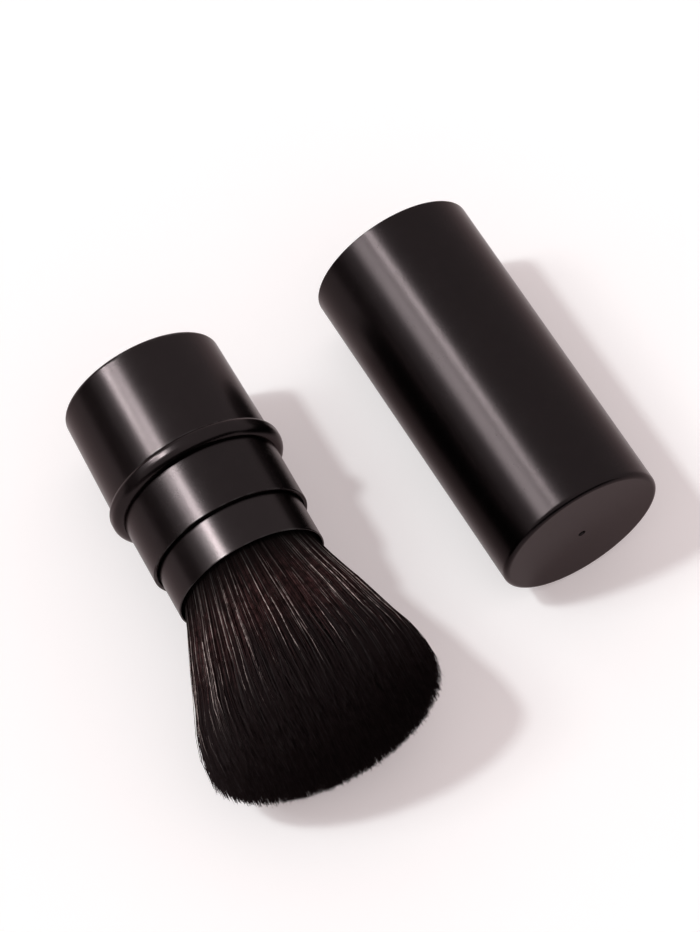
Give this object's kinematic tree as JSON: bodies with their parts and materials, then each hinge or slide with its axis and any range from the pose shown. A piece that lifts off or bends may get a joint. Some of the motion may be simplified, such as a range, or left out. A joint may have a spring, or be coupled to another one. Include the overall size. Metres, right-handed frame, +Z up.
{
  "type": "retractable makeup brush",
  "caption": "Retractable makeup brush: a dense domed bristle head in a sliding sleeve, a stepped neck, a ringed base and a deep cap lying beside it.",
  "frame": {"origin": "on the table, at the middle of the footprint of the brush and its cap together", "axes": "+X along the brush from its closed end to its bristles, +Y from the brush towards the cap beside it, +Z up"},
  "size_m": [0.099, 0.1086, 0.0434],
  "materials": {
    "black_metal": "black anodised, smooth satin gloss",
    "black_plastic": "moulded black, matt",
    "steel": "plain steel",
    "bristle": "soft brown-black synthetic filament"
  },
  "bodies": {
    "brush": {"base_shell": "black_metal", "stop_ring": "black_metal", "neck_tube": "black_metal", "guide_bush": "black_plastic", "base_plug": "black_plastic", "core_post": "black_plastic", "core_screw": "steel", "ferrule_cup": "black_metal", "bristles_left": "bristle", "bristles_top": "bristle", "bristles_right": "bristle", "bristles_bottom": "bristle"},
    "sleeve": {"sleeve_tube": "black_metal", "sleeve_bush": "black_plastic"},
    "cap": {"cap": "black_metal"}
  },
  "joints": [
    {"name": "sleeve_slide", "type": "slide", "parent": "brush", "child": "sleeve", "axis": [1, 0, 0], "range_m": [0, 0.0315], "deforming": ["bristles_left", "bristles_top", "bristles_right", "bristles_bottom"]},
    {"name": "cap_slide", "type": "slide", "parent": "brush", "child": "cap", "axis": [0.9988, 0.048, 0], "range_m": [0, 0.07]}
  ]
}
